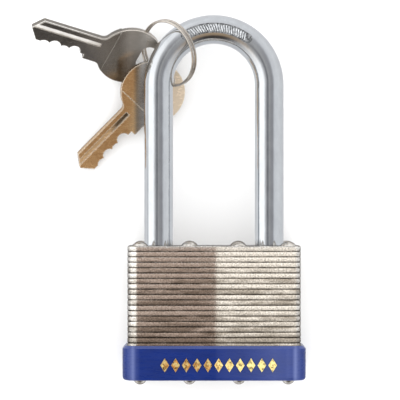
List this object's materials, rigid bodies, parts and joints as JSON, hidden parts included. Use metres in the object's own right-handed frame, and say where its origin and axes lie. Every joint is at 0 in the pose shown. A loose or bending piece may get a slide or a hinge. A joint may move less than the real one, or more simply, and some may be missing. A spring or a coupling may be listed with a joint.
{
  "type": "laminated padlock",
  "caption": "Laminated steel padlock with a long chromed shackle, a moulded bumper round its foot, and a split ring with keys hung on the shackle.",
  "frame": {"origin": "centre of the bumper's flat back face, on which the lock lies", "axes": "+X across the body to the heel leg, +Y up the shackle to its crown, +Z out of the front face"},
  "size_m": [0.0794, 0.1072, 0.0269],
  "materials": {
    "plated_steel": "zinc plated, stamped edges",
    "bumper": "gloss blue",
    "rivets": "plated",
    "chrome": "polished",
    "spring_steel": "oiled",
    "hardened_steel": "satin",
    "brass": "machined",
    "nickel_wire": "plated",
    "nickel_key": "nickel plated, polished",
    "brass_key": "polished"
  },
  "bodies": {
    "lock_body": {"bottom_plate": "plated_steel", "plate_02": "plated_steel", "plate_03": "plated_steel", "plate_04": "plated_steel", "plate_05": "plated_steel", "plate_06": "plated_steel", "plate_07": "plated_steel", "plate_08": "plated_steel", "plate_09": "plated_steel", "plate_10": "plated_steel", "plate_11": "plated_steel", "plate_12": "plated_steel", "plate_13": "plated_steel", "plate_14": "plated_steel", "plate_15": "plated_steel", "plate_16": "plated_steel", "plate_17": "plated_steel", "plate_18": "plated_steel", "plate_19": "plated_steel", "plate_20": "plated_steel", "plate_21": "plated_steel", "plate_22": "plated_steel", "plate_23": "plated_steel", "plate_24": "plated_steel", "top_plate": "plated_steel", "bumper": "bumper", "front_rivets": "rivets", "back_rivets": "rivets", "cylinder_shell": "brass", "chamber_cover": "brass", "driver_pins": "brass", "pin_springs": "spring_steel", "shackle_spring": "spring_steel"},
    "plug": {"plug": "brass", "plug_clip": "spring_steel", "key_pin_1": "brass", "key_pin_2": "brass", "key_pin_3": "brass", "key_pin_4": "brass", "tailpiece": "hardened_steel", "cam": "hardened_steel"},
    "heel_dog": {"heel_dog": "hardened_steel"},
    "toe_dog": {"toe_dog": "hardened_steel"},
    "shackle": {"shackle": "chrome", "shackle_clip": "spring_steel"},
    "key_ring": {"key_ring": "nickel_wire"},
    "key_1": {"key_1": "nickel_key"},
    "key_2": {"key_2": "brass_key"}
  },
  "joints": [
    {"name": "plug_turn", "type": "hinge", "parent": "lock_body", "child": "plug", "pos_m": [0, 0, 0.01345], "axis": [0, 1, 0], "range_deg": [0, 90]},
    {"name": "heel_dog_slide", "type": "slide", "parent": "lock_body", "child": "heel_dog", "axis": [-1, 0, 0], "range_m": [0, 0.005]},
    {"name": "toe_dog_slide", "type": "slide", "parent": "lock_body", "child": "toe_dog", "axis": [1, 0, 0], "range_m": [0, 0.005]},
    {"name": "shackle_lift", "type": "slide", "parent": "lock_body", "child": "shackle", "axis": [0, 1, 0], "range_m": [0, 0.0126], "deforming": ["shackle_spring"]},
    {"name": "ring_round_crown", "type": "hinge", "parent": "shackle", "child": "key_ring", "pos_m": [0, 0.0806, 0.01345], "axis": [0, 0, 1], "range_deg": [-110, 15]},
    {"name": "key_1_on_ring", "type": "hinge", "parent": "key_ring", "child": "key_1", "pos_m": [-0.01316, 0.08985, 0.01229], "axis": [-0.6462, -0.278, 0.7107], "range_deg": [-34, 6]},
    {"name": "key_2_on_ring", "type": "hinge", "parent": "key_ring", "child": "key_2", "pos_m": [-0.01316, 0.08985, 0.01229], "axis": [-0.6462, -0.278, 0.7107], "range_deg": [-1, 7]}
  ],
  "couplings": [
    {"joint": "plug_turn", "follows": "shackle_lift", "rad_per_m": 124.66},
    {"joint": "heel_dog_slide", "follows": "shackle_lift", "ratio": 0.3968},
    {"joint": "toe_dog_slide", "follows": "shackle_lift", "ratio": 0.3968}
  ]
}
